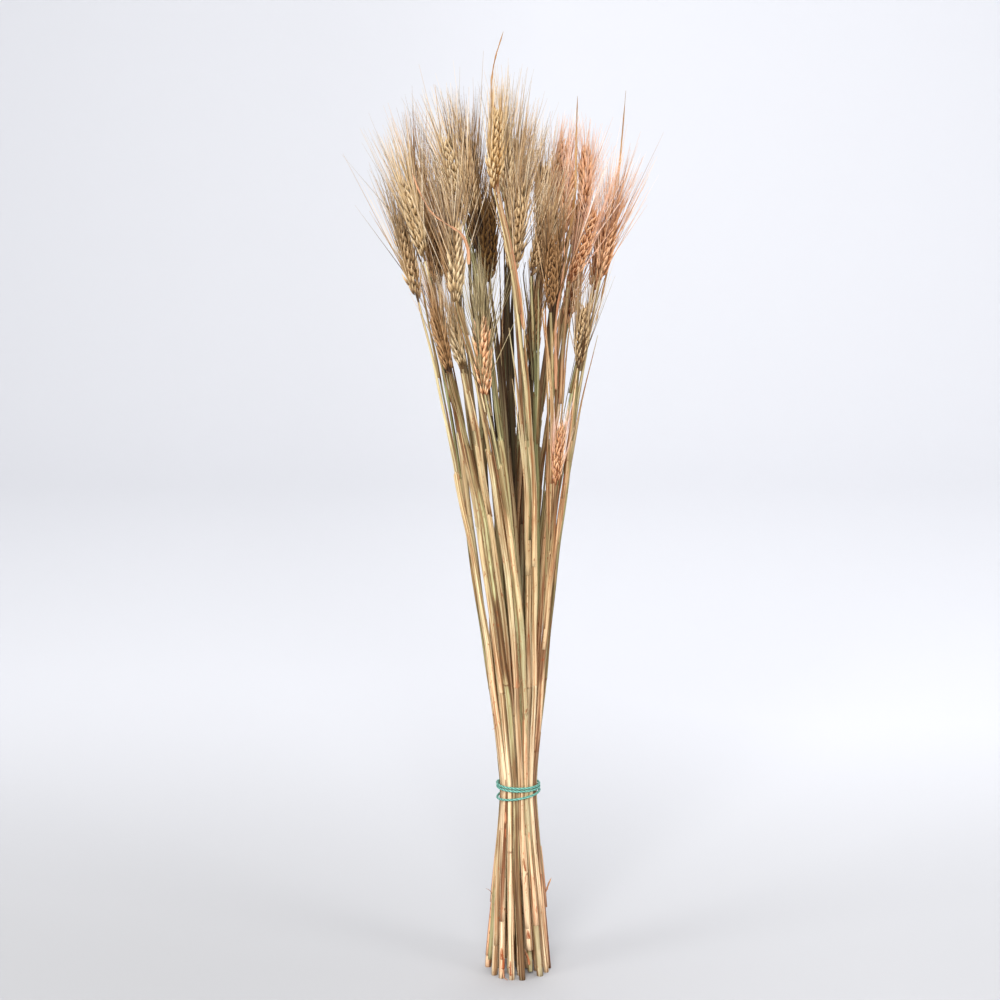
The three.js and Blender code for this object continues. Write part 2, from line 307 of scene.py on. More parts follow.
def bandMaterial(name, s):
    paint = Paint(name)
    grain = paint.grain(1, 2100)
    ridge = paint.number("ridge")
    # painted shade: the furrows between the ridges are painted darker, as shade in the grooves
    base = paint.mix(ridge.step(0.1, 0.9), s["furrowShade"], s["ridge"])
    base = paint.mix(grain.step(0.45, 0.7) * 0.35, base, s["dust"])
    paint.link(base, "Base Color")
    paint.link(grain * 0.2 + 0.45, "Roughness")
    paint.bump(grain, 0.00008, 0.6)
    paint.set(Specular_IOR_Level=0.4)
    return paint.material


def cadRings(node, sides=6):
    # the level rings of a stalk's solid, from the cut end up: height, middle, radius
    levels = {}
    for vertex in nodes[node].data.vertices:
        place = (round(vertex.co.x, 6), round(vertex.co.y, 6))
        levels.setdefault(round(vertex.co.z, 5), set()).add(place)
    rings = []
    for height in sorted(levels):
        around = [Vector((x, y, height)) for x, y in levels[height]]
        middle = sum(around, Vector()) / len(around)
        reach = [(point - middle).length for point in around]
        if len(around) == sides and max(reach) - min(reach) < 0.02 * mm:
            rings.append((height, middle, sum(reach) / sides))
        elif len(around) == sides + 1 and not rings:  # the cut end has a vertex in its middle too
            rings.append((height, middle, max(reach)))
    return rings


def readStalk(node):
    # a stalk's run and sizes, found from its solid: the ear starts where the rings widen at once
    rings = cadRings(node)
    base = next(i for i in range(len(rings) - 1) if rings[i + 1][2] > 1.8 * rings[i][2])
    earBase, earLow, earWide = (rings[base + k][1] for k in range(3))
    long = (earWide.z - earBase.z) / 0.4
    tip = earBase + (earWide - earBase) / 0.4
    knots = [middle for _, middle, _ in rings[:base + 1]] + [earLow, earWide, tip]
    swell = max(range(1, base), key=lambda i: rings[i][2] - max(rings[i - 1][2], rings[i + 1][2]))
    drop = max(range(1, base), key=lambda i: rings[i][2] - rings[i + 1][2] if i != swell else 0)
    radii = [(height, radius) for k, (height, _, radius) in enumerate(rings[:base + 1]) if k != swell]
    return {"knots": knots, "cut": rings[0][0], "ear": earBase.z, "long": long, "radii": radii,
            "joint": rings[swell][0], "collar": rings[drop][0], "wide": rings[base + 2][2]}


def onPath(knots, z):  # a smooth line through the knots, which rise all the way
    k = next((i for i in range(1, len(knots) - 1) if z <= knots[i].z), len(knots) - 1)
    a, b = knots[k - 1], knots[k]
    before = knots[max(k - 2, 0)]
    after = knots[min(k + 1, len(knots) - 1)]
    slopeA = (b - before) / (b.z - before.z)
    slopeB = (after - a) / (after.z - a.z)
    gap = b.z - a.z
    t = (z - a.z) / gap
    if t < 0:
        return a + slopeA * (z - a.z)
    point = (2 * t ** 3 - 3 * t ** 2 + 1) * a + (t ** 3 - 2 * t ** 2 + t) * gap * slopeA
    return point + (3 * t ** 2 - 2 * t ** 3) * b + (t ** 3 - t ** 2) * gap * slopeB


bundleSet = {"rows": 20, "low": 0.012, "tall": 0.74, "deepest": 60 * mm}  # where and how deep it is measured


def readBundle(stalks, s):  # the bundle's own middle and reach at a row of heights
    table = {"across": [], "deep": [], "reach": []}
    for k in range(s["rows"]):
        z = s["low"] + s["tall"] * k / (s["rows"] - 1)
        beside = [stalk for stalk in stalks if stalk["cut"] - 0.03 < z < stalk["ear"] + stalk["long"]]
        spots = [onPath(stalk["knots"], z) for stalk in beside]
        if len(spots) > 3:
            middle = sum(spots, Vector()) / len(spots)
            table["across"].append((z, middle.x))
            table["deep"].append((z, middle.y))
            table["reach"].append((z, max((spot - middle).length for spot in spots)))
    return table


def depthIn(bundle, point):  # 0 at the outside of the bundle, 1 where it is deepest
    z = point.z
    middle = Vector((between(bundle["across"], z), between(bundle["deep"], z), z))
    inside = between(bundle["reach"], z) - (point - middle).length
    return min(1, max(0, inside) / bundleSet["deepest"])


def between(table, z):  # straight between the rows of a table
    for (z0, v0), (z1, v1) in zip(table, table[1:]):
        if z <= z1:
            return v0 + (v1 - v0) * max(0, (z - z0) / (z1 - z0))
    return table[-1][1]


stemSet = {
    "sides": 12,
    "step": 7 * mm,  # between rings of the skin
    "wobble": 0.55 * mm,  # how far a stem strays from its straight run
    "bare": 1.45 * mm,  # radius of the stem above its last sheath
    "slim": (0.88, 1.12),  # share of the solid's radius, each stem its own
    "sheathThick": 0.24 * mm,
    "jointSwell": 0.14 * mm,
    "jointHalf": 1.3 * mm,
    "hollow": 0.6,  # bore of the straw, as a share of its radius
    "hollowDeep": 9 * mm,
    "tornShare": 0.3,  # chance of a torn bit of sheath at a joint
    "secondJoint": 0.6,  # chance of one more joint lower down
    "jointGap": (0.12, 0.19),  # and how far down
    "lowerSheath": 0.75,  # chance of each sheath below the top one
    "sheathLong": (0.10, 0.15),
    "sheathFlare": 0.06,  # how much the top sheath stands off below its collar
    "collarRise": 5 * mm,  # the slant of a sheath's end
    "stray": 0.12,  # run over which a stem starts to stray above and below the band
    "flags": 4,  # dried blades on each stem
    "flagLong": (0.08, 0.25),
    "flagWide": (2.2 * mm, 4.2 * mm),
    "flagAway": (0.0 * mm, 6.0 * mm),  # how far their tips lean off it
    "flagStart": (-0.12, 0.11),  # from the top collar
    "wraps": 2,  # and old sheaths around its foot
    "wrapLong": (0.05, 0.12),
    "wrapWide": (3.2 * mm, 5.0 * mm),
    "wrapStart": (0.002, 0.06),  # from the cut end
    "worn": 0.15,  # how rusty flags and wraps are
}


class Tube:  # gathers rings of points, and closes them into one skin with its attributes
    def __init__(self, sides):
        self.sides = sides
        self.points = []
        self.faces = []
        self.space = []
        self.marks = []

    def ring(self, points, spaces, marks):
        start = len(self.points)
        self.points += points
        self.space += spaces
        self.marks += [marks] * len(points)
        return start

    def join(self, low, high, sides=None):
        n = sides or self.sides
        self.faces += [(low + i, low + (i + 1) % n, high + (i + 1) % n, high + i) for i in range(n)]

    def cap(self, ring, up, sides=None):
        n = sides or self.sides
        face = tuple(ring + i for i in range(n))
        self.faces.append(face if up else face[::-1])

    def cover(self, rings, sides=None):  # a closed skin over a run of rings
        self.cap(rings[0], False, sides)
        for low, high in zip(rings, rings[1:]):
            self.join(low, high, sides)
        self.cap(rings[-1], True, sides)


def stemPlan(stalk, rng, s):  # where this stem's joints are, and the collars in which its sheaths end
    joints = [stalk["joint"]]
    if rng.random() < s["secondJoint"]:
        joints.append(stalk["joint"] - rng.uniform(*s["jointGap"]))
    joints = sorted(z for z in joints if z > stalk["cut"] + 0.012)
    collars = [(joints[-1], stalk["collar"], rng.uniform(0, 2 * math.pi))]
    for low in (joints[0] - rng.uniform(0.06, 0.1), joints[0]):
        top = low + rng.uniform(*s["sheathLong"])
        clear = low < joints[-1] - 0.02 and top < stalk["collar"] - 0.03
        if clear and rng.random() < s["lowerSheath"]:
            collars.append((low, min(top, joints[-1] - 0.006), rng.uniform(0, 2 * math.pi)))
    return joints, collars


def near(z, places, half):  # 1 at the nearest of the places, fading to nothing past half
    return max((math.exp(-((z - place) / half) ** 2) for place in places), default=0)


def buildStem(stalk, bundle, rng, s):
    tube = Tube(s["sides"])
    joints, collars = stemPlan(stalk, rng, s)
    phase = [rng.uniform(0, 2 * math.pi) for _ in range(4)]
    origin = Vector((rng.uniform(-1, 1), rng.uniform(-1, 1), rng.uniform(-1, 1)))
    top = stalk["ear"] + 0.90 * stalk["long"]
    slim = rng.uniform(*s["slim"])
    tint = rng.random()
    tieMiddle = (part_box("tie_band")[0][2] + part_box("tie_band")[1][2]) / 2

    def middleAt(z):
        free = min(1, abs(z - tieMiddle) / s["stray"]) * min(1, max(0, (stalk["ear"] - z) / 0.05))
        across = math.sin(31 * z + phase[0]) + 0.5 * math.sin(77 * z + phase[1])
        deep = math.sin(29 * z + phase[2]) + 0.5 * math.sin(83 * z + phase[3])
        share = 0.35 if z < tieMiddle else 1
        return onPath(stalk["knots"], z) + Vector((across, deep, 0)) * s["wobble"] * free * share

    levels = []  # height of each ring, and how much of the collar's slant it takes
    z = stalk["cut"]
    while z < top:
        levels.append((z, 0))
        z += s["step"]
    for joint in joints:
        levels = [row for row in levels if abs(row[0] - joint) > 4 * mm]
        levels += [(joint + d * s["jointHalf"], 0) for d in (-1.6, -0.8, -0.3, 0, 0.3, 0.8, 1.6)]
    for _, collar, _ in collars:
        levels = [row for row in levels if abs(row[0] - collar) > 5 * mm]
        levels += [(collar - 4 * mm, 0.5), (collar - 0.4 * mm, 1), (collar, 1)]
        levels += [(collar + 0.25 * mm, 1), (collar + 4 * mm, 0.4)]
    levels = sorted(row for row in levels if stalk["cut"] <= row[0] < top)

    def radiusAt(z):
        radius = between(stalk["radii"], z) * slim
        climb = (z - stalk["ear"]) / stalk["long"]
        if climb > 0:  # the rachis, hidden by the scales
            radius += 0.9 * mm * math.sin(math.pi * min(1, climb * 1.05 + 0.02))
        sheath = 0.0
        for low, collar, _ in collars:
            if low < z < collar + 0.1 * mm:
                sheath = max(sheath, 1 - 0.35 * (z - low) / (collar - low))
        if z > stalk["collar"] + 0.1 * mm:  # out of its last sheath the stem is thin at once
            radius = min(radius, s["bare"] * slim)
        elif z > stalk["collar"] - 30 * mm:  # and that sheath stands a little off it
            radius *= 1 + s["sheathFlare"] * (1 - (stalk["collar"] - z) / (30 * mm))
        joint = near(z, joints, s["jointHalf"])
        edge = near(z, [collar + 1 * mm for _, collar, _ in collars], 1.5 * mm)
        pinch = near(z, [place + 2.4 * s["jointHalf"] for place in joints], s["jointHalf"])
        radius += s["sheathThick"] * (1 if sheath else 0) + s["jointSwell"] * joint - 0.12 * mm * pinch
        return radius, sheath, max(joint, 0.75 * edge)

    def addRing(z, slant, share=1.0, inner=False):
        radius, sheath, joint = radiusAt(z)
        radius *= share
        points = []
        spaces = []
        for i in range(s["sides"]):
            turn = 2 * math.pi * i / s["sides"]
            rise = 0
            for _, collar, side in collars:
                if slant and abs(z - collar) < 6 * mm:
                    rise = slant * s["collarRise"] * (0.5 + 0.5 * math.cos(turn - side)) ** 2
            spoke = Vector((math.cos(turn), math.sin(turn), 0))
            wave = 1 + 0.03 * math.sin(3 * turn + phase[0])
            points.append(middleAt(z + rise) + spoke * radius * wave)
            spaces.append(origin + spoke * radius + Vector((0, 0, z)))
        return tube.ring(points, spaces, (0.15 if inner else sheath, joint, tint, 0))

    bottom = stalk["cut"]
    rings = [addRing(bottom + s["hollowDeep"], 0, s["hollow"] * 0.9, True)]  # up inside the straw
    rings.append(addRing(bottom, 0, s["hollow"], True))
    rings.append(addRing(bottom, 0, 0.97))
    rings += [addRing(z, slant) for z, slant in levels[1:]]
    tube.cover(rings)
    for z in joints:
        if rng.random() < s["tornShare"]:
            turn = rng.uniform(0, 2 * math.pi)
            long = rng.uniform(5, 11) * mm
            addScrap(tube, middleAt, radiusAt, z, long, turn, origin, tint, rng)
    for z in stalk["scraps"]:
        turn = rng.uniform(-2.2, -1.0)
        run = (z, rng.uniform(7, 13) * mm)
        addFlag(tube, middleAt, run, origin, rng, (2.0 * mm, 3.2 * mm), 1.5 * mm, turn, 1)
        long = rng.uniform(8, 18) * mm
        addScrap(tube, middleAt, radiusAt, z, long, turn, origin, tint, rng)
    for _ in range(s["flags"]):
        start = stalk["collar"] + rng.uniform(*s["flagStart"])
        end = min(start + rng.uniform(*s["flagLong"]), stalk["ear"] + 0.2 * stalk["long"])
        run = (min(start, end), abs(end - start))
        away = rng.uniform(*s["flagAway"])
        addFlag(tube, middleAt, run, origin, rng, s["flagWide"], away, None, s["worn"])
    for _ in range(s["wraps"]):
        start = stalk["cut"] + rng.uniform(*s["wrapStart"])
        run = (start, rng.uniform(*s["wrapLong"]))
        addFlag(tube, middleAt, run, origin, rng, s["wrapWide"], 0.0, None, s["worn"])
    # depth in the bundle, which sets the painted shade of the straw
    for k, point in enumerate(tube.points):
        tube.marks[k] = (*tube.marks[k], depthIn(bundle, point))
    return tube


def addFlag(tube, middleAt, run, origin, rng, wide, away, turn, torn):
    # a dried blade along the stem: run is its start and length, turn the side of the stem if it matters
    start, long = run
    tint = rng.random()
    spin = rng.uniform(-12, 12) * long
    if turn is None:
        turn = rng.uniform(0, 2 * math.pi)
    wide = rng.uniform(*wide)
    fold = rng.uniform(0.3, 0.8)
    steps = max(5, int(long / (9 * mm)))
    rings = []
    for k in range(steps + 1):
        t = k / steps
        z = start + long * t
        angle = turn + spin * t
        out = Vector((math.cos(angle), math.sin(angle), 0))
        middle = middleAt(z) + out * (2.6 * mm + away * t * t)
        across = Vector((-out.y, out.x, 0))
        half = wide * (1 - 0.8 * t ** 2) * 0.5
        corners = []
        spaces = []
        for side, outer in ((-1, 1), (0, 1), (1, 1), (1, 0), (0, 0), (-1, 0)):
            bend = out * half * fold * (abs(side) - 0.5)
            corners.append(middle + across * half * side - bend + out * outer * 0.22 * mm)
            spaces.append(origin + Vector((half * side + 5 * mm, turn, z)))
        rings.append(tube.ring(corners, spaces, (0.8, 0, tint, torn)))
    tube.cover(rings, 6)


def addScrap(tube, middleAt, radiusAt, z, long, turn, origin, tint, rng):
    # a torn bit of sheath, curling off
    out = Vector((math.cos(turn), math.sin(turn), 0))
    side = Vector((-out.y, out.x, 0))
    point = middleAt(z) + out * (radiusAt(z)[0] - 0.1 * mm)
    wide = rng.uniform(0.7, 1.6) * mm
    bend = rng.uniform(0.7, 1.9)
    up = rng.choice((-1, 1, 1))
    steps = 9
    rings = []
    for k in range(steps + 1):
        t = k / steps
        lean = 0.12 + bend * t
        ahead = Vector((0, 0, up * math.cos(lean))) + out * math.sin(lean)
        face = ahead.cross(side)
        half = side * wide * (1 - 0.75 * t) * 0.5
        skin = face * 0.11 * mm
        corners = [point - half - skin, point + half - skin, point + half + skin, point - half + skin]
        spaces = [origin + Vector((wide * j, 0, z + t * long)) for j in (0, 1, 1, 0)]
        rings.append(tube.ring(corners, spaces, (0.6, 0, tint, 1)))
        point = point + ahead * long / steps
        point.z = max(point.z, 1 * mm)
        side = (side + out.cross(side) * 0.03).normalized()
    tube.cover(rings, 4)


def tubeMesh(name, tube, markNames):
    mesh = bpy.data.meshes.new(name)
    mesh.from_pydata(tube.points, [], tube.faces)
    space = mesh.attributes.new("stemSpace", "FLOAT_VECTOR", "POINT")
    space.data.foreach_set("vector", [v for point in tube.space for v in point])
    for k, mark in enumerate(markNames):
        layer = mesh.attributes.new(mark, "FLOAT", "POINT")
        layer.data.foreach_set("value", [marks[k] for marks in tube.marks])
    mesh.polygons.foreach_set("use_smooth", [True] * len(mesh.polygons))
    mesh.update()
    return mesh


def meshFrom(bm, name):
    mesh = bpy.data.meshes.new(name)
    bm.to_mesh(mesh)
    bm.free()
    return mesh


scaleSet = {  # a scale's width at shares of its length, and its faces around
    "rows": [(0.0, 0.0), (0.12, 0.6), (0.34, 1.0), (0.62, 0.80), (0.84, 0.38), (1.0, 0.0)],
    "around": 6,
}
spikeletSet = {  # each scale: place (out, across, up), lean outwards, splay, length, width
    "glumes": {"out": 0.8, "across": 2.0, "up": 0.0, "lean": 14, "splay": 22, "long": 10.8, "wide": 2.8},
    "florets": {"out": 1.3, "across": 1.2, "up": 1.4, "lean": 23, "splay": 15, "long": 13.6, "wide": 2.9},
    "middle": {"out": 1.4, "across": 0.0, "up": 3.0, "lean": 19, "splay": 0, "long": 13.2, "wide": 2.8},
    "inner": {"out": -0.2, "across": 0.9, "up": 1.0, "lean": 5, "splay": 7, "long": 11.5, "wide": 3.6},
}


def addScale(bm, spaceLayer, place, part, side, s):
    # a pointed boat: flat inside, round outside, its tip turned in a little
    long = part["long"]
    wide = part["wide"]
    rows = []

    def turned(a, b, degrees):
        angle = math.radians(degrees)
        return a * math.cos(angle) + b * math.sin(angle), b * math.cos(angle) - a * math.sin(angle)

    def put(x, y, z):  # x out from the ear, y across, z along the scale
        x, z = turned(x, z, part["lean"])
        y, z = turned(y, z, side * part["splay"])
        return Vector((x, y, z)) * mm + place

    for t, width in s["rows"]:
        row = []
        count = s["around"] if width else 1
        for i in range(count):
            turn = 2 * math.pi * (i + 0.5) / s["around"]
            outward = math.cos(turn)
            across = math.sin(turn) * width * wide / 2
            depth = (outward * 0.42 + 0.1) if outward > 0 else outward * 0.16
            bow = 0.11 * long * math.sin(math.pi * min(1, t * 1.05)) - 0.05 * long * t
            x = depth * width * wide + bow
            vertex = bm.verts.new(put(x, across, t * long))
            vertex[spaceLayer] = Vector((math.cos(turn) * width, math.sin(turn) * width, t))
            row.append(vertex)
        rows.append(row)
    for low, high in zip(rows, rows[1:]):
        n = max(len(low), len(high))
        for i in range(n):
            j = (i + 1) % n
            corners = [low[i % len(low)], low[j % len(low)], high[j % len(high)], high[i % len(high)]]
            kept = list(dict.fromkeys(corners))
            bm.faces.new(kept).smooth = True


def spikeletObject(parts, s):
    bm = bmesh.new()
    spaceLayer = bm.verts.layers.float_vector.new("scaleSpace")
    for kind, part in parts.items():
        for side in ((0,) if kind == "middle" else (-1, 1)):
            place = Vector((part["out"], side * part["across"], part["up"])) * mm
            addScale(bm, spaceLayer, place, part, side, s)
    bmesh.ops.recalc_face_normals(bm, faces=bm.faces)
    return keepAside("spikelet", meshFrom(bm, "spikelet"))


awnShape = {"segments": 7, "bow": 0.035, "thick": 1.0, "sides": 3, "taper": 0.86}


def awnObject(s):  # one metre long and one metre thick, to be scaled where it grows
    bm = bmesh.new()
    spaceLayer = bm.verts.layers.float_vector.new("scaleSpace")
    rows = []
    for k in range(s["segments"] + 1):
        t = k / s["segments"]
        radius = s["thick"] * (1 - s["taper"] * t ** 0.8)
        bow = s["bow"] * t * t
        row = []
        for i in range(s["sides"]):
            turn = 2 * math.pi * i / s["sides"]
            vertex = bm.verts.new((radius * math.cos(turn), radius * math.sin(turn), t))
            vertex[spaceLayer] = Vector((bow, 0, t))
            row.append(vertex)
        rows.append(row)
    for low, high in zip(rows, rows[1:]):
        for i in range(s["sides"]):
            j = (i + 1) % s["sides"]
            bm.faces.new((low[i], low[j], high[j], high[i])).smooth = True
    bm.faces.new(rows[0][::-1])
    bm.faces.new(rows[-1])
    return keepAside("awn", meshFrom(bm, "awn"))


def keepAside(name, mesh):  # an object that only the trees read, linked to no scene
    return bpy.data.objects.new(name, mesh)


def earTree():
    # stem in, whole stalk out: spikelets in two ranks along the ear's axis, and awns from them
    tree = bpy.data.node_groups.new("wheatEar", "GeometryNodeTree")
    sockets = [
        ("Stem", "Geometry"), ("Ear axis", "Object"), ("Spikelet", "Object"), ("Awn", "Object"),
        ("Spikelets", "Int"), ("Awns each", "Int"), ("Ear width", "Float"), ("Awn length", "Float"),
        ("Awn thickness", "Float"), ("Awn spread", "Float"), ("Seed", "Int"),
        ("Scale skin", "Material"), ("Awn skin", "Material"),
    ]
    for name, kind in sockets:
        tree.interface.new_socket(name, in_out="INPUT", socket_type="NodeSocket" + kind)
    tree.interface.new_socket("Stalk", in_out="OUTPUT", socket_type="NodeSocketGeometry")
    given = addNode(tree, "NodeGroupInput").outputs

    def wire(socket):
        return Wire(tree, socket)

    def chance(low, high, seed):
        node = addNode(tree, "FunctionNodeRandomValue", {"data_type": "FLOAT"},
                       {2: low, 3: high, 8: wire(given["Seed"]) + seed})
        return wire(node.outputs[1])

    def turned(rotation, axis, angle):
        by = addNode(tree, "FunctionNodeAxisAngleToRotation", None, {"Axis": axis, "Angle": angle})
        return addNode(tree, "FunctionNodeRotateRotation", {"rotation_space": "LOCAL"},
                       {"Rotation": rotation, "Rotate By": by.outputs[0]}).outputs[0]

    def stored(geometry, name, value, domain="POINT", kind="FLOAT"):
        return addNode(tree, "GeometryNodeStoreNamedAttribute", {"domain": domain, "data_type": kind},
                       {"Geometry": geometry, "Name": name, "Value": value}).outputs[0]

    def named(name):
        settings = {"data_type": "FLOAT"}
        return wire(addNode(tree, "GeometryNodeInputNamedAttribute", settings, {"Name": name}).outputs[0])

    def shapeOf(socket):
        settings = {"transform_space": "ORIGINAL"}
        return addNode(tree, "GeometryNodeObjectInfo", settings, {"Object": socket}).outputs["Geometry"]

    def placed(points, shape, rotation, scale, skin):
        inputs = {"Points": points, "Instance": shape, "Rotation": rotation, "Scale": scale}
        grown = addNode(tree, "GeometryNodeInstanceOnPoints", None, inputs).outputs[0]
        grown = stored(grown, "tone", chance(0.0, 1.0, 9), "INSTANCE")
        real = addNode(tree, "GeometryNodeRealizeInstances", None, {"Geometry": grown}).outputs[0]
        inputs = {"Geometry": real, "Material": skin}
        return addNode(tree, "GeometryNodeSetMaterial", None, inputs).outputs[0]

    def vector(x, y, z):
        return addNode(tree, "ShaderNodeCombineXYZ", None, {0: x, 1: y, 2: z}).outputs[0]

    run = addNode(tree, "GeometryNodeCurveToPoints", {"mode": "COUNT"},
                  {"Curve": shapeOf(given["Ear axis"]), "Count": given["Spikelets"]})
    index = wire(addNode(tree, "GeometryNodeInputIndex").outputs[0])
    along = index / (wire(given["Spikelets"]) - 1)
    points = stored(run.outputs["Points"], "earAlong", along)
    points = stored(points, "rank", index.math("MODULO", 2.0))
    points = stored(points, "growth", along.step(-0.25, 0.22) * (1 - along.step(0.62, 1.25) * 0.55))
    side = turned(run.outputs["Rotation"], (0, 0, 1), named("rank") * math.pi + chance(-0.13, 0.13, 1))
    tilt = turned(side, (0, 1, 0), chance(-0.07, 0.07, 2) - named("earAlong") * 0.1)
    tilt = turned(tilt, (1, 0, 0), chance(-0.08, 0.08, 3))
    size = named("growth") * wire(given["Ear width"]) * chance(0.92, 1.08, 4)
    swell = vector(size, size, size * 0.5 + 0.5)
    scales = placed(points, shapeOf(given["Spikelet"]), tilt, swell, given["Scale skin"])

    copies = addNode(tree, "GeometryNodeDuplicateElements", {"domain": "POINT"},
                     {"Geometry": points, "Amount": given["Awns each"]})
    spread = wire(given["Awn spread"])
    lower = 1 - named("earAlong") * 0.45
    lean = turned(side, (0, 1, 0), spread * lower * chance(-0.5, 1.1, 5))
    lean = turned(lean, (1, 0, 0), spread * lower * chance(-1.0, 1.0, 6))
    lean = turned(lean, (0, 0, 1), chance(-3.1, 3.1, 7))
    start = vector(named("growth") * 4.6 * mm, chance(-1.6 * mm, 1.6 * mm, 8), named("growth") * 8.5 * mm)
    offset = addNode(tree, "FunctionNodeRotateVector", None, {"Vector": start, "Rotation": side})
    roots = addNode(tree, "GeometryNodeSetPosition", None,
                    {"Geometry": copies.outputs[0], "Offset": offset.outputs[0]}).outputs[0]
    thick = wire(given["Awn thickness"]) * chance(0.8, 1.15, 10)
    long = wire(given["Awn length"]) * chance(0.62, 1.06, 11) * (1 - named("earAlong") * 0.52)
    long = long * (1 + chance(0.0, 1.0, 12).step(0.93, 0.96) * 0.35)  # a few reach well past the rest
    awns = placed(roots, shapeOf(given["Awn"]), lean, vector(thick, thick, long), given["Awn skin"])

    joined = addNode(tree, "GeometryNodeJoinGeometry")
    for part in (awns, scales, given["Stem"]):
        tree.links.new(part, joined.inputs[0])
    out = addNode(tree, "NodeGroupOutput")
    tree.links.new(joined.outputs[0], out.inputs[0])
    return tree


def runTree(obj, tree, values):  # sets the tree's inputs, runs it and keeps the plain mesh
    modifier = obj.modifiers.new("grow", "NODES")
    modifier.node_group = tree
    for item in tree.interface.items_tree:
        if item.in_out == "INPUT" and item.name in values:
            modifier[item.identifier] = values[item.name]
    obj.update_tag()
    bpy.context.view_layer.update()
    grown = obj.evaluated_get(bpy.context.evaluated_depsgraph_get())
    mesh = bpy.data.meshes.new_from_object(grown)
    obj.modifiers.clear()
    obj.data = mesh
    return obj


def axisCurve(name, stalk, face, s):  # the line that an ear's spikelets sit on
    curve = bpy.data.curves.new(name, "CURVE")
    curve.dimensions = "3D"
    curve.twist_mode = "MINIMUM"
    spline = curve.splines.new("POLY")
    spline.points.add(s["axisPoints"] - 1)
    for k, point in enumerate(spline.points):
        climb = s["earStart"] + s["earShare"] * k / (s["axisPoints"] - 1)
        z = stalk["ear"] + climb * stalk["long"]
        point.co = (*onPath(stalk["knots"], z), 1)
        point.tilt = face
    return keepAside(name, curve)


def turnOutward(mesh):
    bm = bmesh.new()
    bm.from_mesh(mesh)
    bmesh.ops.recalc_face_normals(bm, faces=bm.faces)
    bm.to_mesh(mesh)
    bm.free()


def addPiece(name, mesh):
    piece = bpy.data.objects.new(name, mesh)
    bpy.context.scene.collection.objects.link(piece)
    return piece


# by stalk number: straw, ear, share of the usual awn spread and length; the rest take their turn
looks = {
    20: ("gold", "yellow", 0.55, 0.62), 8: ("gold", "tan", 1.5, 0.95), 9: ("green", "tan", 1.0, 0.9),
    36: ("gold", "pale", 1.2, 1.1), 19: ("green", "pale", 1.1, 0.9), 33: ("gold", "tan", 1.2, 1.0),
    37: ("gold", "apricot", 1.3, 1.05), 35: ("green", "brown", 1.0, 0.8), 31: ("green", "brown", 1.2, 1.0),
    15: ("green", "shade", 1.0, 1.0), 10: ("rust", "orange", 1.0, 1.0), 24: ("gold", "orange", 1.2, 1.0),
    25: ("green", "orange", 1.2, 1.0), 22: ("rust", "brown", 0.9, 0.9), 11: ("green", "orange", 1.0, 0.9),
    23: ("rust", "tan", 0.9, 0.8), 3: ("green", "brown", 0.8, 0.8), 21: ("rust", "apricot", 0.7, 0.5),
    26: ("rust", "orange", 1.1, 0.6), 12: ("rust", "orange", 1.0, 0.8), 18: ("gold", "pale", 1.0, 0.8),
    34: ("gold", "pale", 1.3, 1.0), 27: ("rust", "orange", 1.1, 0.8), 13: ("rust", "orange", 0.8, 0.6),
    6: ("green", "shade", 1.0, 1.0), 30: ("rust", "shade", 1.0, 0.9), 7: ("green", "tan", 1.0, 0.9),
    2: ("gold", "shade", 1.0, 0.9), 4: ("gold", "tan", 1.0, 0.8), 14: ("green", "brown", 1.1, 0.8),
}
stalkSet = {
    # straw and ear of the stalks that have no look of their own
    "turns": [("gold", "tan"), ("green", "pale"), ("gold", "brown"), ("green", "tan"),
              ("gold", "yellow")],
    "rowPitch": 3.15 * mm,  # between spikelets
    "usualWide": 6.5 * mm,  # half width of a usual ear
    "earStart": 0.02,  # where the spikelets start, and their run, as shares of the ear
    "earShare": 0.84,
    "axisPoints": 12,
    "awnsEach": 4,
    "awnLong": 0.100,
    "awnThick": 0.00046,
    "awnSpread": 0.32,
    "faceOn": 1.57,  # a quarter turn
    # ears that show one rank of spikelets face on
    "fanned": {8, 36, 37, 9, 19, 10, 25, 11, 26, 13, 28, 30, 34},
    # ears whose awns have another skin
    "awnSkins": {37: "moss", 36: "tan", 19: "tan", 8: "tan", 7: "tan", 10: "peach", 25: "peach",
                 26: "peach", 12: "peach", 27: "peach", 13: "peach", 21: "peach"},
    # across and height, on whichever stem is in front there
    "scraps": [(0.010, 0.034), (0.008, 0.012), (-0.012, 0.008), (-0.016, 0.016), (-0.004, 0.004),
               (0.024, 0.026), (0.005, 0.090), (0.018, 0.104), (-0.012, 0.128)],
    "scrapReach": 3.5 * mm,
}


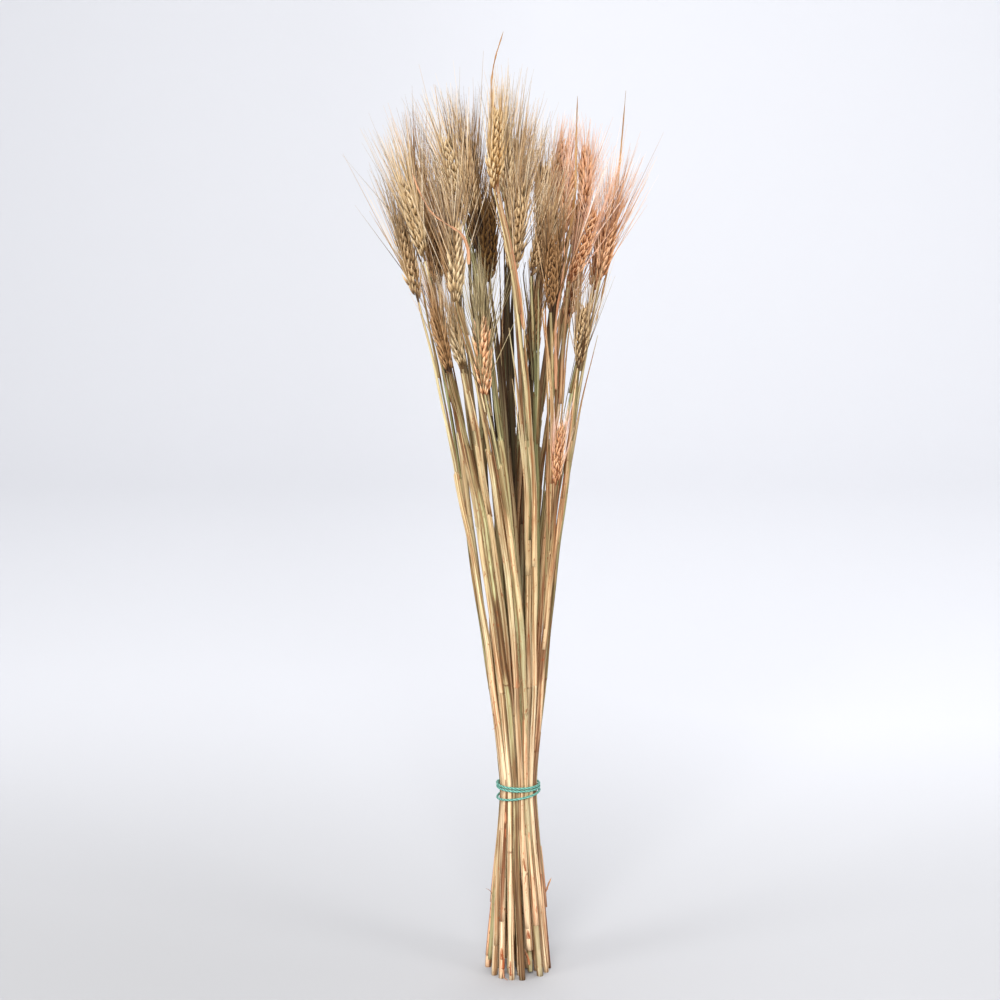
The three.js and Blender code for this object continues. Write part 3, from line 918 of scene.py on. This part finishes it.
def buildStalk(number, stalk, bundle, skins, tree, spikelet, awn, s):
    node = "stalk_%02d" % number
    rng = random.Random(100 + number)
    default = s["turns"][number % len(s["turns"])]
    strawName, earName, fan, reach = looks.get(number, (*default, 1.0, 1.0))
    awnName = s["awnSkins"].get(number, earName)
    stem = buildStem(stalk, bundle, rng, stemSet)
    mesh = tubeMesh(node + "Stem", stem, ["sheath", "joint", "tint", "torn", "shadeDepth"])
    mesh.materials.append(skins["straw"][strawName])
    mesh.materials.append(skins["ear"][earName])
    for polygon in mesh.polygons:
        polygon.material_index = int(polygon.center.z > stalk["ear"] + 1 * mm)
    piece = addPiece("wheat%02d" % number, mesh)
    size = stalk["wide"] / s["usualWide"]
    face = rng.uniform(-0.4, 0.4) + s["faceOn"] * (number in s["fanned"])
    runTree(piece, tree, {
        "Ear axis": axisCurve("axis%02d" % number, stalk, face, s),
        "Spikelet": spikelet,
        "Awn": awn,
        "Spikelets": max(8, round(s["earShare"] * stalk["long"] / (s["rowPitch"] * (0.5 + 0.5 * size)))),
        "Awns each": s["awnsEach"] + (2 if fan > 1.15 else 0) - (1 if awnName == "peach" else 0),
        "Ear width": 0.22 + 0.73 * size,
        "Awn length": s["awnLong"] * reach,
        "Awn thickness": s["awnThick"],
        "Awn spread": s["awnSpread"] * fan,
        "Seed": number * 20,
        "Scale skin": skins["ear"][earName],
        "Awn skin": skins["awn"][awnName],
    })
    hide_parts(node)
    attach(piece, "root")
    return piece


def shareScraps(stalks, s):  # gives each scrap to the front stem at its place
    for stalk in stalks:
        stalk["scraps"] = []
    for across, height in s["scraps"]:
        beside = []
        for stalk in stalks:
            point = onPath(stalk["knots"], height)
            if abs(point.x - across) < s["scrapReach"]:
                beside.append((point.y, stalk))
        if beside:
            min(beside, key=lambda row: row[0])[1]["scraps"].append(height)


def buildStalks():
    skins = {
        "straw": {name: strawMaterial("straw_" + name, s) for name, s in strawSet.items()},
        "ear": {name: earMaterial("ear_" + name, s) for name, s in earSet.items()},
        "awn": {name: awnMaterial("awn_" + name, s) for name, s in {**earSet, **awnTints}.items()},
    }
    tree = earTree()
    spikelet = spikeletObject(spikeletSet, scaleSet)
    awn = awnObject(awnShape)
    names = sorted(name for name in nodes if name.startswith("stalk_"))
    stalks = [readStalk(name) for name in names]
    bundle = readBundle(stalks, bundleSet)
    shareScraps(stalks, stalkSet)
    for number, stalk in enumerate(stalks, 1):
        buildStalk(number, stalk, bundle, skins, tree, spikelet, awn, stalkSet)
    print("stalks built:", len(stalks))


bladeSet = {  # skin, bend across and waves, as shares of the width; points across, and rings to a section
    "thick": 0.28 * mm,
    "curl": 0.55,
    "ruffle": 0.06,
    "across": 6,
    "smooth": 5,
}


def stripRows(node):
    # a blade's solid is a row of four-cornered sections, found by walking from its end
    bm = bmesh.new()
    bm.from_mesh(nodes[node].data)
    bmesh.ops.remove_doubles(bm, verts=bm.verts, dist=1e-6)
    total = len(bm.verts)
    for edge in bm.edges:
        if len(edge.link_faces) != 2:
            continue
        first = {v for face in edge.link_faces for v in face.verts}
        rows = [first]
        seen = set(first)
        while len(rows[-1]) == 4:
            ahead = {e.other_vert(v) for v in rows[-1] for e in v.link_edges} - seen
            if not ahead:
                break
            rows.append(ahead)
            seen |= ahead
        if len(first) == 4 and len(seen) == total and all(len(row) == 4 for row in rows):
            places = [sorted((v.co.copy() for v in row), key=tuple) for row in rows]  # the same in every run
            bm.free()
            return places if places[0][0].z < places[-1][0].z else places[::-1]
    raise RuntimeError("no sections found in " + node)


def buildBlade(node, skin, s):  # a smooth, curled and ruffled skin along the sections of its solid
    rows = stripRows(node)
    middles = [sum(row, Vector()) / 4 for row in rows]
    widths = []
    last = None
    for row in rows:
        far = max(((a - b) for a in row for b in row), key=lambda d: d.length)
        if last is not None and far.dot(last) < 0:
            far = -far
        last = far
        widths.append(far)
    rng = random.Random(node)
    tube = Tube(2 * s["across"])
    count = (len(middles) - 1) * s["smooth"]
    rings = []
    origin = Vector((rng.uniform(-1, 1), rng.uniform(-1, 1), 0))
    for k in range(count + 1):
        t = k / s["smooth"]
        i = min(int(t), len(middles) - 2)
        f = t - i
        p0, p1, p2, p3 = (middles[min(max(i + d, 0), len(middles) - 1)] for d in (-1, 0, 1, 2))
        point = 0.5 * (2 * p1 + (p2 - p0) * f + (2 * p0 - 5 * p1 + 4 * p2 - p3) * f * f
                       + (3 * p1 - p0 - 3 * p2 + p3) * f ** 3)
        ahead = (p2 - p1).normalized()
        side = widths[i].lerp(widths[i + 1], f)
        side = side - ahead * side.dot(ahead)
        wide = side.length
        side.normalize()
        face = ahead.cross(side)
        end = min(1, (count - k) / 6 + 0.06) * min(1, k / 3 + 0.6)
        curl = s["curl"] * (1 + 0.5 * math.sin(0.13 * k + origin.x * 5))
        points = []
        spaces = []
        for upper in (1, -1):
            for j in range(s["across"]):
                u = ((j + 0.5) / s["across"] * 2 - 1) * upper
                bend = wide * curl * (0.5 - u * u) * 0.5
                ruffle = s["ruffle"] * wide * math.sin(0.55 * k + 3 * u)
                place = point + side * u * 0.5 * wide * end
                place += face * ((bend + ruffle) * end - upper * s["thick"] / 2)
                points.append(place)
                spaces.append(origin + Vector((u * wide / 2, upper * s["thick"], point.z)))
        rings.append(tube.ring(points, spaces, (0.0,)))
    tube.cover(rings)
    mesh = tubeMesh(node + "Blade", tube, ["ridge"])
    turnOutward(mesh)
    mesh.materials.append(skin)
    piece = addPiece("blade" + node[-2:], mesh)
    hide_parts(node)
    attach(piece, "root")
    return piece


def buildBlades():
    skins = {name: leafMaterial("leaf" + name.capitalize(), s) for name, s in leafSet.items()}
    names = sorted(name for name in nodes if name.startswith("leaf_"))
    for name, skin in zip(names, leafOrder):
        buildBlade(name, skins[skin], bladeSet)
    print("blades built:", len(names))


bandSet = {
    "strand": 1.0 * mm,
    "solid": 0.8 * mm,  # the strand's radius in its solid
    "turns": 3,
    "levels": [(1.0, 0.97), (0.80, 0.77), (0.0, 0.49)],  # each turn's height at its left and right
    "steps": 420,
    "sides": 14,
    "ridges": 3,
    "pitch": 3.4 * mm,  # of the ridges' twist
    "deep": 0.16,
}


def buildBand(s):  # one closed strand that goes round three times
    low, high = (Vector(corner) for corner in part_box("tie_band"))
    reach = (high.x - low.x) / 2 - s["solid"]
    climbOut = (high.y - low.y) - (high.x - low.x)  # how far the strand stands out where it climbs over
    centre = Vector(((low.x + high.x) / 2, low.y + reach + s["solid"], 0))
    bottom = low.z + s["solid"]
    tall = high.z - low.z - 2 * s["solid"]

    def ease(t):
        return t * t * (3 - 2 * t)

    def at(turns):
        turn = int(turns) % s["turns"]
        part = turns - int(turns)
        left, right = s["levels"][turn]
        following = s["levels"][(turn + 1) % s["turns"]][0]
        if part < 0.5:
            share = left + (right - left) * ease(2 * part)
        else:
            share = right + (following - right) * ease(2 * part - 1)
        out = 0
        if turn == s["turns"] - 1 and part >= 0.5:
            out = climbOut * math.sqrt(max(0, math.sin(math.pi * (2 * part - 1))))
        angle = math.pi * (1 + 2 * part)
        radius = reach + out
        place = (radius * math.cos(angle), radius * math.sin(angle), bottom + tall * share)
        return centre + Vector(place)

    tube = Tube(s["sides"])
    total = s["steps"] * s["turns"]
    glance = 0.002  # of a turn, to either side, to see which way the strand runs
    length = 0
    rings = []
    for k in range(total):
        turns = k / s["steps"]
        point = at(turns)
        behind = turns - glance if turns > glance else turns + s["turns"] - glance
        ahead = (at(turns + glance) - at(behind)).normalized()
        outward = Vector((point.x - centre.x, point.y - centre.y, 0)).normalized()
        up = outward.cross(ahead)
        points = []
        spaces = []
        marks = []
        for i in range(s["sides"]):
            turn = 2 * math.pi * i / s["sides"]
            wave = math.cos(s["ridges"] * turn + 2 * math.pi * length / s["pitch"])
            radius = s["strand"] * (1 - s["deep"] * (0.5 - 0.5 * wave))
            spoke = outward * math.cos(turn) + up * math.sin(turn)
            points.append(point + spoke * radius)
            spaces.append(point)
            marks.append((0.5 + 0.5 * wave,))
        ring = tube.ring(points, spaces, (0,))
        tube.marks[ring:] = marks
        rings.append(ring)
        length += (at((k + 1) / s["steps"] % s["turns"]) - point).length
    for low, high in zip(rings, rings[1:] + rings[:1]):
        tube.join(low, high)
    mesh = tubeMesh("bandMesh", tube, ["ridge"])
    turnOutward(mesh)
    mesh.materials.append(bandMaterial("bandRubber", rubberSet))
    piece = addPiece("elasticBand", mesh)
    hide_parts("tie_band")
    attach(piece, "root")
    print("band built")


studioSet = {
    "wide": 12,
    "front": 5,
    "back": 3.4,
    "bend": 1.3,
    "bendSteps": 14,
    "tall": 4,
    # near and far: painted light, the paper's colour at the front and at the back
    "near": "#b0b0b2",
    "far": "#d8d9de",
}


def buildStudio(s):  # a sheet of paper that bends up into a wall
    bm = bmesh.new()
    profile = [(-s["front"], 0), (s["back"] - s["bend"], 0)]
    for k in range(1, s["bendSteps"] + 1):
        turn = math.pi / 2 * k / s["bendSteps"]
        deep = s["back"] - s["bend"] + s["bend"] * math.sin(turn)
        profile.append((deep, s["bend"] * (1 - math.cos(turn))))
    profile.append((s["back"], s["tall"]))
    rows = [[bm.verts.new((x, y, z)) for x in (-s["wide"] / 2, s["wide"] / 2)] for y, z in profile]
    for low, high in zip(rows, rows[1:]):
        bm.faces.new((low[0], low[1], high[1], high[0])).smooth = True
    mesh = meshFrom(bm, "sweep")
    paint = Paint("paper")
    # painted light: the paper is painted darker towards the front and lighter towards the back and to the
    # right, as the light falls off
    deep = paint.part(paint.spot(), "Y").step(-0.1, 1.0)
    right = paint.part(paint.spot(), "X").step(-0.35, 0.35)
    paint.link(paint.mix(deep * 0.82 + right * 0.28, s["near"], s["far"]), "Base Color")
    paint.set(Roughness=0.9, Specular_IOR_Level=0.1)
    mesh.materials.append(paint.material)
    addPiece("sweep", mesh)


lightSet = {
    "lamps": [
        {"at": (-0.30, -2.7, 1.8), "aim": (0, 0, 0.34), "size": 1.7, "watts": 97},
        {"at": (2.3, -1.7, 1.2), "aim": (0, 0, 0.40), "size": 1.2, "watts": 27},
        {"at": (-2.3, -1.5, 1.1), "aim": (0, 0, 0.40), "size": 1.2, "watts": 31},
        {"at": (0.2, 0.6, 3.0), "aim": (0, 0, 0.3), "size": 2.4, "watts": 32},
        {"at": (0.2, 1.6, 2.7), "aim": (0.2, 2.9, 0.0), "size": 2.2, "watts": 34},  # on the wall
    ],
    "room": (0.97, 0.98, 1.0),
    "roomStrength": 0.36,
}


def buildLights(s):
    for k, row in enumerate(s["lamps"]):
        data = bpy.data.lights.new("soft%d" % k, "AREA")
        data.shape = "DISK"
        data.size = row["size"]
        data.energy = row["watts"]
        lamp = bpy.data.objects.new("soft%d" % k, data)
        bpy.context.scene.collection.objects.link(lamp)
        lamp.location = row["at"]
        aimAt(lamp, row["aim"])
    world = bpy.data.worlds.new("room")
    bpy.context.scene.world = world
    world.use_nodes = True
    room = world.node_tree.nodes["Background"].inputs
    room["Color"].default_value = (*s["room"], 1)
    room["Strength"].default_value = s["roomStrength"]
    print("studio lit with", len(s["lamps"]), "lamps")


buildStalks()
buildBlades()
buildBand(bandSet)
buildStudio(studioSet)
buildLights(lightSet)
